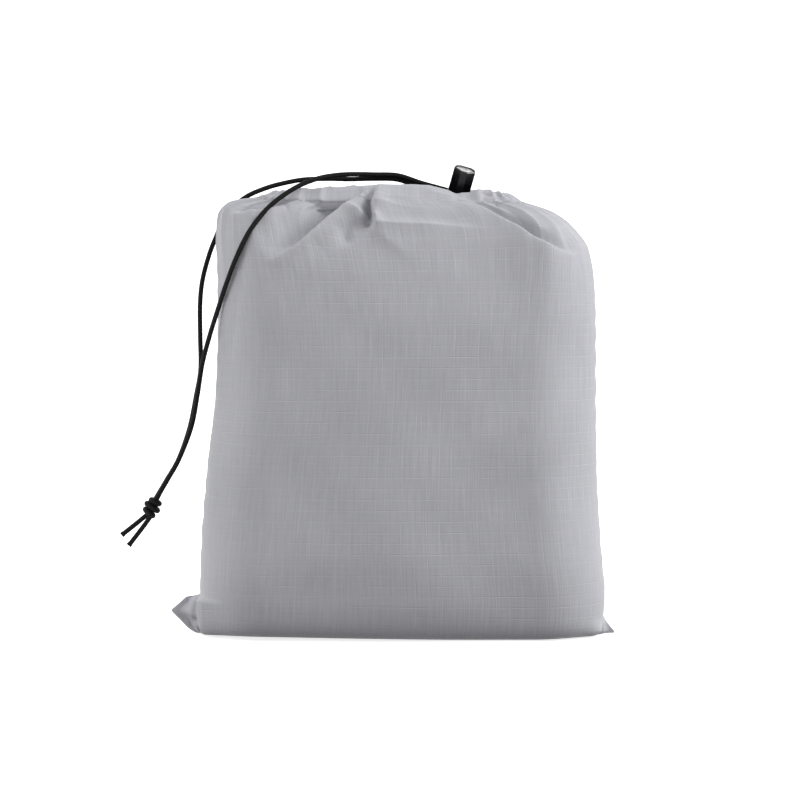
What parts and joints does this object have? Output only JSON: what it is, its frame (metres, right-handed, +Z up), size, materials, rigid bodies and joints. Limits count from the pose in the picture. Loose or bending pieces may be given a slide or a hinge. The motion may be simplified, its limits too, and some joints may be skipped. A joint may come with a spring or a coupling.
{
  "type": "drawstring shoe bag",
  "caption": "Stuffed ripstop drawstring bag for shoes, standing upright, with a round black drawcord, a spring cord lock and a knotted cord end.",
  "frame": {"origin": "centre of the bag's footprint, on the surface it stands on, cord left out", "axes": "+X along the width towards the side where the cord comes out, front faces -Y, +Z up"},
  "size_m": [0.3042, 0.1164, 0.2902],
  "materials": {
    "ripstop_cloth": "matte",
    "sewing_thread": "satin",
    "drawcord": "matte",
    "lock_plastic": "gloss",
    "spring_steel": "satin"
  },
  "bodies": {
    "bag": {"front_panel": "ripstop_cloth", "back_panel": "ripstop_cloth", "front_casing": "ripstop_cloth", "back_casing": "ripstop_cloth", "side_seam_left": "ripstop_cloth", "side_seam_right": "ripstop_cloth", "bottom_seam": "ripstop_cloth", "casing_stitching_front": "sewing_thread", "casing_stitching_back": "sewing_thread", "drawcord_loop": "drawcord", "drawcord_strand_a": "drawcord", "drawcord_strand_b": "drawcord", "drawcord_knot": "drawcord", "drawcord_tail_a": "drawcord", "drawcord_tail_b": "drawcord"},
    "cord_lock": {"cord_lock_barrel": "lock_plastic", "cord_lock_spring": "spring_steel"},
    "plunger": {"cord_lock_plunger": "lock_plastic"}
  },
  "joints": [
    {"name": "lock_slide", "type": "slide", "parent": "bag", "child": "cord_lock", "axis": [-0.9636, 0, 0.2672], "range_m": [0, 0.015]},
    {"name": "plunger_press", "type": "slide", "parent": "cord_lock", "child": "plunger", "axis": [0.236, -0.4695, 0.8508], "range_m": [0, 0.003], "stiffness_N_per_m": 400, "springref_m": -0.002, "deforming": ["cord_lock_spring"]}
  ]
}
